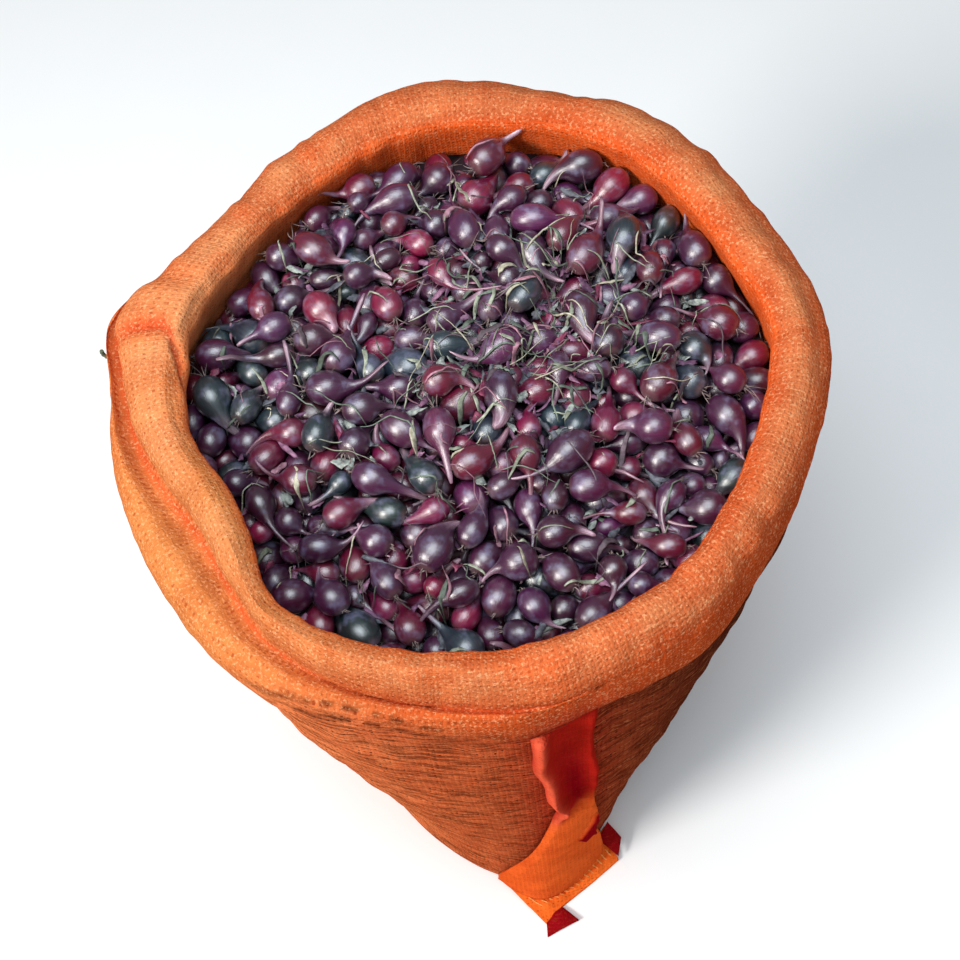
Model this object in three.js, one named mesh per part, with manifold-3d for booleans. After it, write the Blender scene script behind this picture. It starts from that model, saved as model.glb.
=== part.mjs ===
// An open net sack of pearl onions, standing on its base with its mouth rolled outwards.
// Millimetres, +Z up. The origin is the middle of the base on the ground. -Y is the front,
// where the side seam's loose fold runs down to a sewn corner that lies on the ground.

import * as THREE from 'three';
import { mergeVertices } from 'three/addons/utils/BufferGeometryUtils.js';
import Module from 'manifold-3d';

const { degToRad, radToDeg, euclideanModulo, clamp, lerp, smoothstep } = THREE.MathUtils;
const TURN = 2 * Math.PI;

// ---- Driving dimensions ----

const HEIGHT = 450;            // ground to the crest of the rolled mouth
const WALL = 3;                // the gathered net, taken as one layer
const AIR = 0.4;               // space between pieces that touch
const LOOSE = 1.5;             // the same along the sack's flat-sided outside
const SIDES = 54;              // points in each ring of the sack and of the heap's core
const CORE_TOP_SIDES = 9;      // points in the rings of the core's top

const CUFF_EDGE_Z = 388;       // lower edge of the turned-down cuff
const TUCK_Z = 384;            // where the body runs up behind the cuff
const TUCK_IN = 7;             // how far the body lies behind the cuff's edge
const ROLL_INSIDE = 11;        // from the crest to the inner face of the roll
const BASE_FLAT = 0.9;         // share of the base's reach that lies flat
const CORNER_SHARE = 0.972;    // the same at the middle of the rounded bottom corner
const CORNER_Z = 5;
const CORNER_TOP_Z = 16;       // where the bottom corner meets the side

const ONION_COUNT = 116;       // onions that show on top of the heap
const ONION_SIDES = 6;
const ONION_RADIUS = [8.2, 12];
const ONION_CLEARANCE = 1.4;   // from an onion to the sack's inner face
const ONION_NECK = [7, 24];    // length of the drawn-out neck
const FREE_SPACE = 15;         // from the highest onion to the crest
const SHOULDER_Z = 400;        // up to here the core lies against the sack
const CORE_EDGE_Z = 404;       // the edge of the core's top
const CORE_RISE = 13;          // how much higher the core's middle is
const CORE_TILT = 8;           // and how much higher its back is than its front

const EAR_THICKNESS = 4.5;     // two layers of net and a hem
const EAR_FOOT_Z = 8; // the ear's inner edge stands as far out as the corner at this height
const HEM_RIDGE = 1.6;         // how far the hem's stitching stands up
const FOLD_THICKNESS = 2.8;    // the seam's loose fold
const FOLD_CURL = 7;           // how far the fold's left edge curls off the sack

// The sack's cross-sections. It is sewn flat along the bottom from front to back, so it is
// narrow and pointed at the base and round at the mouth. A power of 2 makes a true ellipse.
const SECTIONS = [
  { z: 0, halfWidth: 106, halfDepth: 157, x: -18, y: -3, power: 1.7 },
  { z: 45, halfWidth: 113, halfDepth: 162, x: -14, y: -1, power: 1.68 },
  { z: 100, halfWidth: 123, halfDepth: 165, x: -11, y: 1, power: 1.75 },
  { z: 200, halfWidth: 143, halfDepth: 169, x: -8, y: 1, power: 1.95 },
  { z: 300, halfWidth: 159, halfDepth: 170, x: -8, y: -2, power: 2 },
  { z: 400, halfWidth: 167, halfDepth: 172, x: -5, y: -1, power: 2 },
];

// Reach of the mouth from the middle, as [degrees from +X, millimetres]
const crestReach = around([
  [0, 165], [18, 161], [40, 168], [56, 173], [75, 170], [95, 168], [118, 156], [142, 152],
  [161, 156], [180, 153], [200, 145], [214, 150], [227, 162], [245, 166], [268, 166],
  [285, 162], [303, 163], [320, 159], [340, 161],
]);
const cuffReach = around([
  [0, 187], [22, 185], [44, 195], [54, 200], [64, 197], [90, 206], [108, 189], [120, 185],
  [133, 178], [147, 186], [158, 203], [169, 194], [182, 191], [205, 187], [222, 188],
  [236, 188], [252, 184], [270, 184], [284, 179], [300, 180], [311, 177], [321, 176],
  [331, 177], [342, 180],
]);
const edgeReach = around([
  [0, 176], [40, 183], [60, 187], [92, 185], [130, 170], [160, 176], [200, 175], [218, 179],
  [232, 183], [250, 179], [271, 180], [285, 173], [302, 175], [313, 173], [325, 175],
  [340, 176],
]);
// 1 where a groove parts the roll from a wider fold below it, 0 where both are one roll
const grooveShare = around([
  [0, 0.15], [60, 0], [110, 0], [145, 0.35], [165, 0.9], [210, 1], [250, 1], [280, 0.8],
  [310, 0.45], [335, 0.3],
]);

// The corner of the flat-sewn bottom that sticks out in front, on the ground
const FRONT_EAR = {
  rootFrom: degToRad(258), rootTo: degToRad(290), rise: 20,
  tip: new THREE.Vector2(-4, -197), corner: new THREE.Vector2(55, -152),
};
const BACK_EAR = {
  rootFrom: degToRad(76), rootTo: degToRad(104), rise: 4,
  tip: new THREE.Vector2(27, 184), corner: new THREE.Vector2(-27, 184),
};

// The side seam's loose fold: height, then the degrees of its left and right edges. It is
// an open pocket under the cuff, narrowest below that, and fans out down to the front ear.
const FOLD_EDGES = [
  [25.5, 258, 287], [45, 260, 286.5], [70, 262.5, 285.5], [98, 266.3, 284.3], [139, 270, 283.5],
  [193, 273.2, 282.8], [233, 275, 282.5], [268, 273, 282.3], [308, 271.2, 282.2], [382.5, 271, 282.5],
];

// ---- Small helpers ----

// A smooth periodic function of an angle through [degrees, value] stations
function around(stations) {
  const count = stations.length;
  const at = (i) => stations[(i + count) % count];
  return (angle) => {
    const degrees = euclideanModulo(radToDeg(angle), 360);
    let i = count - 1;
    while (at(i)[0] > degrees) i -= 1;
    const span = euclideanModulo(at(i + 1)[0] - at(i)[0], 360);
    const t = (degrees - at(i)[0]) / span;
    const [p0, p1, p2, p3] = [at(i - 1)[1], at(i)[1], at(i + 1)[1], at(i + 2)[1]];
    const bend = 2 * p0 - 5 * p1 + 4 * p2 - p3;
    const twist = 3 * p1 - p0 - 3 * p2 + p3;
    return p1 + 0.5 * t * (p2 - p0 + t * (bend + t * twist));
  };
}

// Repeatable random numbers from 0 to 1
function makeRandom(seed) {
  let state = seed;
  return () => {
    state = (state * 1664525 + 1013904223) % 4294967296;
    return state / 4294967296;
  };
}

// A smooth hump round a middle
const hump = (value, middle, width) => Math.exp(-(((value - middle) / width) ** 2));

const ringPoint = (reach, angle, z) => [reach * Math.cos(angle), reach * Math.sin(angle), z];

function geometryFrom(points, triangles) {
  const geometry = new THREE.BufferGeometry();
  geometry.setAttribute('position', new THREE.Float32BufferAttribute(points.flat(), 3));
  geometry.setIndex(triangles.flat());
  geometry.computeVertexNormals();
  return geometry;
}

// A ring of points from a function of the angle that gives [reach, height]
function makeRing(at, sides = SIDES) {
  return Array.from({ length: sides }, (_, side) => {
    const angle = (side / sides) * TURN;
    const [reach, z] = at(angle);
    return ringPoint(reach, angle, z);
  });
}

// A closed surface from rings that start round a lower pole and end round an upper one.
// A ring has as many points as the one before it, or fewer by an even whole factor. Rising
// and falling faces split their quads along the same diagonals, so that nested faces nest.
function closedRings(lowPole, rings, highPole) {
  const points = [lowPole, ...rings.flat(), highPole];
  const triangles = [];
  let start = 1;
  rings.forEach((ring, i) => {
    const sides = ring.length;
    const next = rings[i + 1];
    const here = (side) => start + (side % sides);
    const there = (side) => start + sides + (side % next.length);
    for (let side = 0; side < sides; side += 1) {
      if (i === 0) triangles.push([0, here(side + 1), here(side)]);
      if (!next) {
        triangles.push([points.length - 1, here(side), here(side + 1)]);
      } else if (next.length < sides) {
        const merge = sides / next.length;
        const from = Math.round((side - 0.5) / merge);
        const to = Math.round((side + 0.5) / merge);
        triangles.push([here(side), here(side + 1), there(to)]);
        if (from < to) triangles.push([here(side), there(to), there(from)]);
      } else if (next[0][2] > ring[0][2]) {
        triangles.push([here(side), here(side + 1), there(side + 1)]);
        triangles.push([here(side), there(side + 1), there(side)]);
      } else {
        triangles.push([here(side), here(side + 1), there(side)]);
        triangles.push([here(side + 1), there(side + 1), there(side)]);
      }
    }
    start += sides;
  });
  return geometryFrom(points, triangles);
}

// A closed slab between two faces, each a function of (across, along), both from 0 to 1
function slab(across, along, lowFace, highFace) {
  const points = [];
  const triangles = [];
  const row = along + 1;
  const layer = (across + 1) * row;
  [lowFace, highFace].forEach((face) => {
    for (let i = 0; i <= across; i += 1) {
      for (let j = 0; j <= along; j += 1) points.push(face(i / across, j / along));
    }
  });
  const quad = (a, b, c, d) => triangles.push([a, b, c], [a, c, d]);
  for (let i = 0; i < across; i += 1) {
    for (let j = 0; j < along; j += 1) {
      const [a, b, c, d] = [i * row + j, (i + 1) * row + j, (i + 1) * row + j + 1, i * row + j + 1];
      quad(d, c, b, a);
      quad(layer + a, layer + b, layer + c, layer + d);
    }
    const [near, far] = [i * row, i * row + along];
    quad(near, near + row, layer + near + row, layer + near);
    quad(far + row, far, layer + far, layer + far + row);
  }
  for (let j = 0; j < along; j += 1) {
    const [left, right] = [j, across * row + j];
    quad(left + 1, left, layer + left, layer + left + 1);
    quad(right, right + 1, layer + right + 1, layer + right);
  }
  return geometryFrom(points, triangles);
}

function addPiece(name, geometry, color, roughness) {
  const material = new THREE.MeshStandardMaterial({ color, roughness, metalness: 0 });
  const mesh = new THREE.Mesh(geometry, material);
  mesh.name = name;
  sackOfOnions.add(mesh);
}

const sackOfOnions = new THREE.Group();

// ---- The sack's faces ----

// Reach of the oval cross-section at a height
function ovalReach(angle, z) {
  let upper = 1;
  while (upper < SECTIONS.length - 1 && SECTIONS[upper].z < z) upper += 1;
  const [below, above] = [SECTIONS[upper - 1], SECTIONS[upper]];
  const t = clamp((z - below.z) / (above.z - below.z), 0, 1);
  const [width, depth, x, y, power] = ['halfWidth', 'halfDepth', 'x', 'y', 'power']
    .map((key) => lerp(below[key], above[key], t));
  const [c, s] = [Math.cos(angle), Math.sin(angle)];
  const sum = Math.abs(c / width) ** power + Math.abs(s / depth) ** power;
  return sum ** (-1 / power) + x * c + y * s;
}

// The body's outer face, which follows the cuff's edge near the top
function bodyReach(angle, z) {
  const oval = ovalReach(angle, z);
  return lerp(oval, edgeReach(angle) - TUCK_IN, smoothstep(z, 220, TUCK_Z));
}

// The same, with the rounded bottom corner
function cornerReach(angle, z) {
  const share = lerp(CORNER_SHARE, 1, clamp((z - CORNER_Z) / (CORNER_TOP_Z - CORNER_Z), 0, 1));
  return share * bodyReach(angle, Math.max(z, CORNER_TOP_Z));
}

// The inner face, which leans in from behind the cuff to the roll
function innerReach(angle, z) {
  const rollZ = HEIGHT - ROLL_INSIDE;
  if (z <= TUCK_Z) return bodyReach(angle, z) - WALL;
  const t = clamp((z - TUCK_Z) / (rollZ - TUCK_Z), 0, 1);
  return lerp(bodyReach(angle, TUCK_Z) - WALL, crestReach(angle) - ROLL_INSIDE, t);
}

// A ring of the cuff: [share of the cuff's width, height] without and with the groove
function cuffRing(plain, grooved) {
  return (angle) => {
    const crest = crestReach(angle);
    const width = cuffReach(angle) - crest;
    const share = clamp(grooveShare(angle), 0, 1);
    return [crest + width * lerp(plain[0], grooved[0], share), lerp(plain[1], grooved[1], share)];
  };
}

const bodyRing = (z) => (angle) => [bodyReach(angle, z), z];
const innerRing = (z) => (angle) => [innerReach(angle, z), z];
const LEVELS = [CORNER_TOP_Z, 50, 105, 170, 240, 310, TUCK_Z];

function makeSack() {
  const shrunk = (share, inset, z) => (angle) => [
    share * bodyReach(angle, CORNER_TOP_Z) - inset, z,
  ];
  const outside = [
    shrunk(BASE_FLAT, 0, 0),
    shrunk(CORNER_SHARE, 0, CORNER_Z),
    ...LEVELS.map(bodyRing),
  ];
  const cuff = [
    (angle) => [edgeReach(angle), CUFF_EDGE_Z],
    cuffRing([0.9, 399], [0.86, 397]),
    cuffRing([1, 412], [1, 407]),
    cuffRing([1, 424], [0.86, 418]),
    cuffRing([0.93, 433], [0.3, 426]),
    cuffRing([0.76, 441], [0.42, 436]),
    cuffRing([0.42, 447.5], [0.34, 446]),
    (angle) => [crestReach(angle), HEIGHT],
  ];
  const inside = [
    (angle) => [crestReach(angle) - 0.75 * ROLL_INSIDE, HEIGHT - 3.5],
    innerRing(HEIGHT - ROLL_INSIDE),
    innerRing(SHOULDER_Z),
    ...[...LEVELS].reverse().map(innerRing),
    shrunk(CORNER_SHARE, WALL * 0.8, CORNER_Z + WALL * 0.8),
    shrunk(BASE_FLAT, WALL * 0.4, WALL),
  ];
  const rings = [...outside, ...cuff, ...inside].map((ring) => makeRing(ring));
  return closedRings([0, 0, 0], rings, [0, 0, WALL]);
}

// ---- The heap of onions ----

// Height of the core's top at a share of the way out, towards an angle
const coreTop = (share, angle) => CORE_EDGE_Z + CORE_RISE * (1 - share * share)
  + CORE_TILT * share * (1 + Math.sin(angle)) / 2;

function makeCore() {
  const share = (part, inset, z) => (angle) => [part * bodyReach(angle, CORNER_TOP_Z) - inset, z];
  const snug = (z) => (angle) => [innerReach(angle, z) - AIR, z];
  const dome = (part) => (angle) => [
    innerReach(angle, CORE_EDGE_Z) * part, coreTop(part, angle),
  ];
  const sides = [
    share(BASE_FLAT, WALL * 0.4 + AIR, WALL + AIR),
    share(CORNER_SHARE, WALL * 0.8 + AIR, CORNER_Z + WALL * 0.8 + AIR),
    ...LEVELS.map(snug),
    snug(SHOULDER_Z),
    dome(0.96),
  ].map((ring) => makeRing(ring));
  const top = [0.75, 0.4].map((part) => makeRing(dome(part), CORE_TOP_SIDES));
  return closedRings([0, 0, WALL + AIR], [...sides, ...top], [0, 0, coreTop(0, 0)]);
}

// One onion: a round bulb drawn out to a thin neck along +Y, turned about its own axis
function makeOnion(radius, plumpness, neck) {
  const length = radius * plumpness;
  const outline = [
    [0, -0.98 * length], [0.8 * radius, -0.62 * length], [radius, 0.25 * length],
    [0.36 * radius, length + 0.25 * neck], [0, length + neck],
  ].map(([x, y]) => new THREE.Vector2(x, y));
  return new THREE.LatheGeometry(outline, ONION_SIDES);
}

// Pushes an onion inwards until all of it is clear of the sack, and below the free space
function fitInSack(geometry) {
  const position = geometry.getAttribute('position');
  const point = new THREE.Vector3();
  for (let pass = 0; pass < 3; pass += 1) {
    let out = 0;
    let top = 0;
    const push = new THREE.Vector3();
    for (let i = 0; i < position.count; i += 1) {
      point.fromBufferAttribute(position, i);
      const angle = Math.atan2(point.y, point.x);
      const past = Math.hypot(point.x, point.y) - innerReach(angle, point.z) + ONION_CLEARANCE;
      if (past > out) {
        out = past;
        push.set(-Math.cos(angle), -Math.sin(angle), 0);
      }
      top = Math.max(top, point.z);
    }
    const drop = Math.min(0, HEIGHT - FREE_SPACE - top);
    geometry.translate(push.x * out, push.y * out, drop);
    if (out === 0 && drop === 0) return true;
  }
  return false;
}

function makeTopOnions() {
  const random = makeRandom(20);
  const between = ([low, high], power = 1) => low + (high - low) * random() ** power;
  const goldenAngle = Math.PI * (3 - Math.sqrt(5));
  const onions = [];
  for (let i = 0; i < ONION_COUNT; i += 1) {
    const share = Math.sqrt((i + 0.5) / ONION_COUNT);
    const angle = i * goldenAngle + 0.1 * (random() - 0.5);
    const radius = between(ONION_RADIUS, 1.3);
    const reach = share * (innerReach(angle, CORE_EDGE_Z) - radius);
    const onion = makeOnion(radius, 0.95 + 0.3 * random(), between(ONION_NECK, 1.4));
    onion.rotateX(degToRad(-8 + 34 * random()));
    onion.rotateZ(random() * TURN);
    onion.translate(...ringPoint(reach, angle, coreTop(share, angle) + 2.5 + 4 * random()));
    if (fitInSack(onion)) onions.push(onion);
  }
  return onions;
}

const wasm = await Module();
wasm.setup();

function toSolid(geometry) {
  const bare = geometry.clone();
  bare.deleteAttribute('normal');
  bare.deleteAttribute('uv');
  const merged = mergeVertices(bare);
  return new wasm.Manifold(new wasm.Mesh({
    numProp: 3,
    vertProperties: new Float32Array(merged.getAttribute('position').array),
    triVerts: new Uint32Array(merged.getIndex().array),
  }));
}

// The onions fused on the core, as the one largest closed body
function makeHeap() {
  const fused = wasm.Manifold.union([toSolid(makeCore()), ...makeTopOnions().map(toSolid)]);
  const bodies = fused.decompose().sort((a, b) => b.volume() - a.volume());
  const mesh = bodies[0].simplify(0.05).getMesh();
  const geometry = new THREE.BufferGeometry();
  geometry.setAttribute('position', new THREE.Float32BufferAttribute(mesh.vertProperties, 3));
  geometry.setIndex(Array.from(mesh.triVerts));
  geometry.computeVertexNormals();
  return geometry;
}

// ---- The seam's fold, the ears and the twine ----

// The fold hangs down the front from under the cuff, against the sack
function foldFace(standOff) {
  const [lowest, highest] = [FOLD_EDGES[0][0], FOLD_EDGES[FOLD_EDGES.length - 1][0]];
  return (across, along) => {
    const z = lerp(highest, lowest, along);
    const upper = Math.max(1, FOLD_EDGES.findIndex((row) => row[0] >= z - 0.001));
    const [below, above] = [FOLD_EDGES[upper - 1], FOLD_EDGES[upper]];
    const t = (z - below[0]) / (above[0] - below[0]);
    const [left, right] = [1, 2].map((k) => degToRad(lerp(below[k], above[k], t)));
    const angle = lerp(left, right, across);
    return ringPoint(bodyReach(angle, z) + standOff(across, along), angle, z);
  };
}

function makeSeamFold() {
  const curl = (across, along) => FOLD_CURL * hump(across, 0.16, 0.15)
    * (1 - smoothstep(along, 0.3, 0.6));
  const inner = foldFace(() => LOOSE);
  const outer = foldFace((across, along) => LOOSE + FOLD_THICKNESS + curl(across, along));
  return slab(6, 13, outer, inner);
}

// An ear is a flat corner of net between its root along the base and its sewn outer hem
function makeEar(ear) {
  const face = (height) => (across, along) => {
    const angle = lerp(ear.rootFrom, ear.rootTo, across);
    const rootZ = Math.max(height(across, 0), EAR_FOOT_Z);
    const [rootX, rootY] = ringPoint(cornerReach(angle, rootZ) + LOOSE, angle, 0);
    const hem = new THREE.Vector2().lerpVectors(ear.tip, ear.corner, across);
    return [lerp(rootX, hem.x, along), lerp(rootY, hem.y, along), height(across, along)];
  };
  const top = (across, along) => EAR_THICKNESS + ear.rise * (1 - along) ** 2
    + HEM_RIDGE * hump(along, 0.8, 0.12);
  return slab(7, 6, face(top), face(() => 0));
}

// A stray end of twine at the pointed fold on the cuff's left
function makeTwineEnd() {
  const angle = degToRad(162);
  const reach = cuffReach(angle) + AIR;
  const out = (away, up) => new THREE.Vector3(...ringPoint(reach + away, angle, 409 + up));
  const path = new THREE.CatmullRomCurve3([out(0, 0), out(3, 1.5), out(5.5, 4), out(6, 7.5)]);
  const section = new THREE.Shape().absarc(0, 0, 1.3, 0, TURN, false);
  return new THREE.ExtrudeGeometry(section, { steps: 4, curveSegments: 3, extrudePath: path });
}

// ---- The finished sack ----

addPiece('sack', makeSack(), '#d9612c', 0.85);
addPiece('onion_heap', makeHeap(), '#4a1630', 0.4);
addPiece('seam_fold', makeSeamFold(), '#a31418', 0.85);
addPiece('front_ear', makeEar(FRONT_EAR), '#dc5a22', 0.85);
addPiece('back_ear', makeEar(BACK_EAR), '#dc5a22', 0.85);
addPiece('twine_end', makeTwineEnd(), '#4d5645', 0.9);

export default sackOfOnions;
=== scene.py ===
"""An open net sack of pearl onions: knitted orange net with a rolled mouth, heaped full."""
import math

import bpy
import numpy as np
from mathutils import Matrix, Vector


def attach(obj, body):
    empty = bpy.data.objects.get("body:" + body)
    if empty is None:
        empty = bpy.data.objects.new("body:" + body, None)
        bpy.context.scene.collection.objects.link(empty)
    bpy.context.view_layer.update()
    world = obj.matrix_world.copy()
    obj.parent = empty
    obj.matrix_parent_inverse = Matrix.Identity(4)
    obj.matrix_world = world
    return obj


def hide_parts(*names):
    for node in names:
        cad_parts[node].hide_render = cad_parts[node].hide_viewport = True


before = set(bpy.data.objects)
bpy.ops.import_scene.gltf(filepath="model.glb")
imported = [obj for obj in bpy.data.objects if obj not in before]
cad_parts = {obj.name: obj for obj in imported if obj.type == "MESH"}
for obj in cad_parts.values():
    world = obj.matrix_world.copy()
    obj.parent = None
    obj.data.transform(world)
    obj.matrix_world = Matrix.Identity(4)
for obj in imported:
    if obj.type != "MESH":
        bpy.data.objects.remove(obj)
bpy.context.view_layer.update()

MM = 0.001
TURN = 2 * math.pi

# ---- Driving dimensions, in millimetres, as the CAD part has them ----

HEIGHT = 450
WALL = 3
CUFF_EDGE_Z = 388
TUCK_Z = 384
TUCK_IN = 7
ROLL_INSIDE = 11
BASE_FLAT = 0.9
CORNER_SHARE = 0.972
CORNER_Z = 5
CORNER_TOP_Z = 16
GIRTH = 1036

# Cross-sections: height, half width, half depth, middle x, middle y, power
SECTIONS = np.array([
    (0, 106, 157, -18, -3, 1.7), (45, 113, 162, -14, -1, 1.68), (100, 123, 165, -11, 1, 1.75),
    (200, 143, 169, -8, 1, 1.95), (300, 159, 170, -8, -2, 2), (400, 167, 172, -5, -1, 2),
], float)

# Reach of the mouth, as (degrees from +X, millimetres)
CREST = [
    (0, 165), (18, 161), (40, 168), (56, 173), (75, 170), (95, 168), (118, 156), (142, 152),
    (161, 156), (180, 153), (200, 145), (214, 150), (227, 162), (245, 166), (268, 166),
    (285, 162), (303, 163), (320, 159), (340, 161),
]
CUFF = [
    (0, 187), (22, 185), (44, 195), (54, 200), (64, 197), (90, 206), (108, 189), (120, 185),
    (133, 178), (147, 186), (158, 203), (169, 194), (182, 191), (205, 187), (222, 188),
    (236, 188), (252, 184), (270, 184), (284, 179), (300, 180), (311, 177), (321, 176),
    (331, 177), (342, 180),
]
EDGE = [
    (0, 176), (40, 183), (60, 187), (92, 185), (130, 170), (160, 176), (200, 175), (218, 179),
    (232, 183), (250, 179), (271, 180), (285, 173), (302, 175), (313, 173), (325, 175),
    (340, 176),
]
GROOVE = [
    (0, 0), (60, 0), (110, 0), (145, 0.2), (160, 0.8), (175, 1), (210, 1), (250, 1), (270, 0.8),
    (285, 0.25), (300, 0), (335, 0),
]


# ---- Numbers and meshes ----

def srgb(red, green, blue):
    """A colour given from 0 to 255 as a linear colour with alpha."""
    def linear(value):
        value /= 255
        return value / 12.92 if value <= 0.04045 else ((value + 0.055) / 1.055) ** 2.4
    return (linear(red), linear(green), linear(blue), 1.0)


def tones(*colors):
    """Several colours given from 0 to 255, as the rows of one array."""
    return np.array([srgb(*color) for color in colors])


def column(values):
    """One value for each of n pieces, to go with arrays (n, rings, sides)."""
    return np.asarray(values)[:, None, None]


def polar(reach, angle, z):
    """Points from a reach, an angle and a height."""
    return np.stack(np.broadcast_arrays(reach * np.cos(angle), reach * np.sin(angle), z), -1)


def full_turn(sides):
    return np.arange(sides) / sides * TURN


def smoothstep(value, low, high):
    t = np.clip((value - low) / (high - low), 0, 1)
    return t * t * (3 - 2 * t)


def lerp(a, b, t):
    return a + (b - a) * t


def hump(value, middle, width):
    return np.exp(-((value - middle) / width) ** 2)


def around(stations):
    """A smooth periodic function of an angle through (degrees, value) stations."""
    degrees = np.array([s[0] for s in stations], float)
    values = np.array([s[1] for s in stations], float)
    count = len(stations)

    def at(angle):
        wanted = np.degrees(angle) % 360
        i = np.searchsorted(degrees, wanted, side="right") - 1
        span = (degrees[(i + 1) % count] - degrees[i]) % 360
        t = (wanted - degrees[i]) / span
        p0, p1, p2, p3 = (values[(i + k) % count] for k in (-1, 0, 1, 2))
        bend = 2 * p0 - 5 * p1 + 4 * p2 - p3
        return p1 + 0.5 * t * (p2 - p0 + t * (bend + t * (3 * p1 - p0 - 3 * p2 + p3)))
    return at


# Where the groove lies, as a share of the way from the crest out to the cuff
GROOVE_PLACE = [
    (0, 0.8), (110, 0.8), (160, 0.82), (178, 0.61), (190, 0.42), (203, 0.28), (225, 0.22),
    (238, 0.26), (250, 0.36), (262, 0.44), (272, 0.7), (282, 0.9), (310, 0.9),
]
crest_reach, cuff_reach, edge_reach, groove_share, groove_place = map(
    around, (CREST, CUFF, EDGE, GROOVE, GROOVE_PLACE))


def lattice_noise(u, v, columns, rows, seed):
    """Smooth noise from -1 to 1. u wraps from 0 to 1 over the columns, v runs from 0 to 1."""
    table = np.random.default_rng(seed).uniform(-1, 1, (columns, rows + 2))
    x, y = (u % 1) * columns, np.clip(v, 0, 1) * rows
    i, j = np.floor(x).astype(int), np.floor(y).astype(int)
    s, t = smoothstep(x - i, 0, 1), smoothstep(y - j, 0, 1)
    low = lerp(table[i % columns, j], table[(i + 1) % columns, j], s)
    high = lerp(table[i % columns, j + 1], table[(i + 1) % columns, j + 1], s)
    return lerp(low, high, t)


def body_reach(angle, z):
    """Reach of the sack's outer face below the cuff."""
    width, depth, x, y, power = (
        np.interp(z, SECTIONS[:, 0], SECTIONS[:, k]) for k in range(1, 6))
    c, s = np.cos(angle), np.sin(angle)
    total = np.abs(c / width) ** power + np.abs(s / depth) ** power
    oval = total ** (-1 / power) + x * c + y * s
    return lerp(oval, edge_reach(angle) - TUCK_IN, smoothstep(z, 220, TUCK_Z))


def inner_reach(angle, z):
    """Reach of the sack's inner face, which leans in behind the cuff."""
    roll_z = HEIGHT - ROLL_INSIDE
    t = np.clip((z - TUCK_Z) / (roll_z - TUCK_Z), 0, 1)
    behind = body_reach(angle, np.minimum(z, TUCK_Z)) - WALL
    return lerp(behind, crest_reach(angle) - ROLL_INSIDE, t)


def room_at(x, y, z):
    """Reach of the inner face in the direction of a point among the onions."""
    return inner_reach(np.arctan2(y, x), np.clip(z, 300, 439))


def mesh_piece(name, points, faces, material, uv=None, tints=None, smooth=True):
    """A mesh object from points in millimetres, with per-corner uv and per-point tints."""
    mesh = bpy.data.meshes.new(name)
    faces = np.asarray(faces)
    mesh.vertices.add(len(points))
    mesh.vertices.foreach_set("co", (np.asarray(points, float) * MM).ravel())
    corners = faces.size
    mesh.loops.add(corners)
    mesh.loops.foreach_set("vertex_index", faces.ravel())
    mesh.polygons.add(len(faces))
    mesh.polygons.foreach_set("loop_start", np.arange(0, corners, faces.shape[1]))
    mesh.polygons.foreach_set("use_smooth", np.full(len(faces), smooth))
    if uv is not None:
        layer = mesh.uv_layers.new(name="cloth")
        layer.data.foreach_set("uv", np.asarray(uv, float).ravel())
    for label, values in (tints or {}).items():
        attribute = mesh.color_attributes.new(label, "FLOAT_COLOR", "POINT")
        attribute.data.foreach_set("color", np.asarray(values, float).ravel())
    mesh.update(calc_edges=True)
    mesh.validate()
    mesh.materials.append(material)
    piece = bpy.data.objects.new(name, mesh)
    bpy.context.scene.collection.objects.link(piece)
    return piece


def finish_piece(piece, slot, *nodes):
    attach(piece, "root")
    if nodes:
        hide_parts(*nodes)


def grid_faces(rows, columns, wrap):
    """Quads of a grid of rows by columns, closed across the columns where wrap is true."""
    i = np.arange(rows - 1)[:, None]
    j = np.arange(columns if wrap else columns - 1)[None, :]
    k = (j + 1) % columns
    quads = np.stack(np.broadcast_arrays(
        i * columns + j, i * columns + k, (i + 1) * columns + k, (i + 1) * columns + j), -1)
    return quads.reshape(-1, 4)


def grid_normals(points):
    """Unit normals of a grid of points (rows, columns, 3) that wraps across its columns."""
    along = np.gradient(points, axis=0)
    across = np.roll(points, -1, 1) - np.roll(points, 1, 1)
    normals = np.cross(across, along)
    return normals / np.maximum(np.linalg.norm(normals, axis=-1, keepdims=True), 1e-9)


# ---- Materials ----

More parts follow.
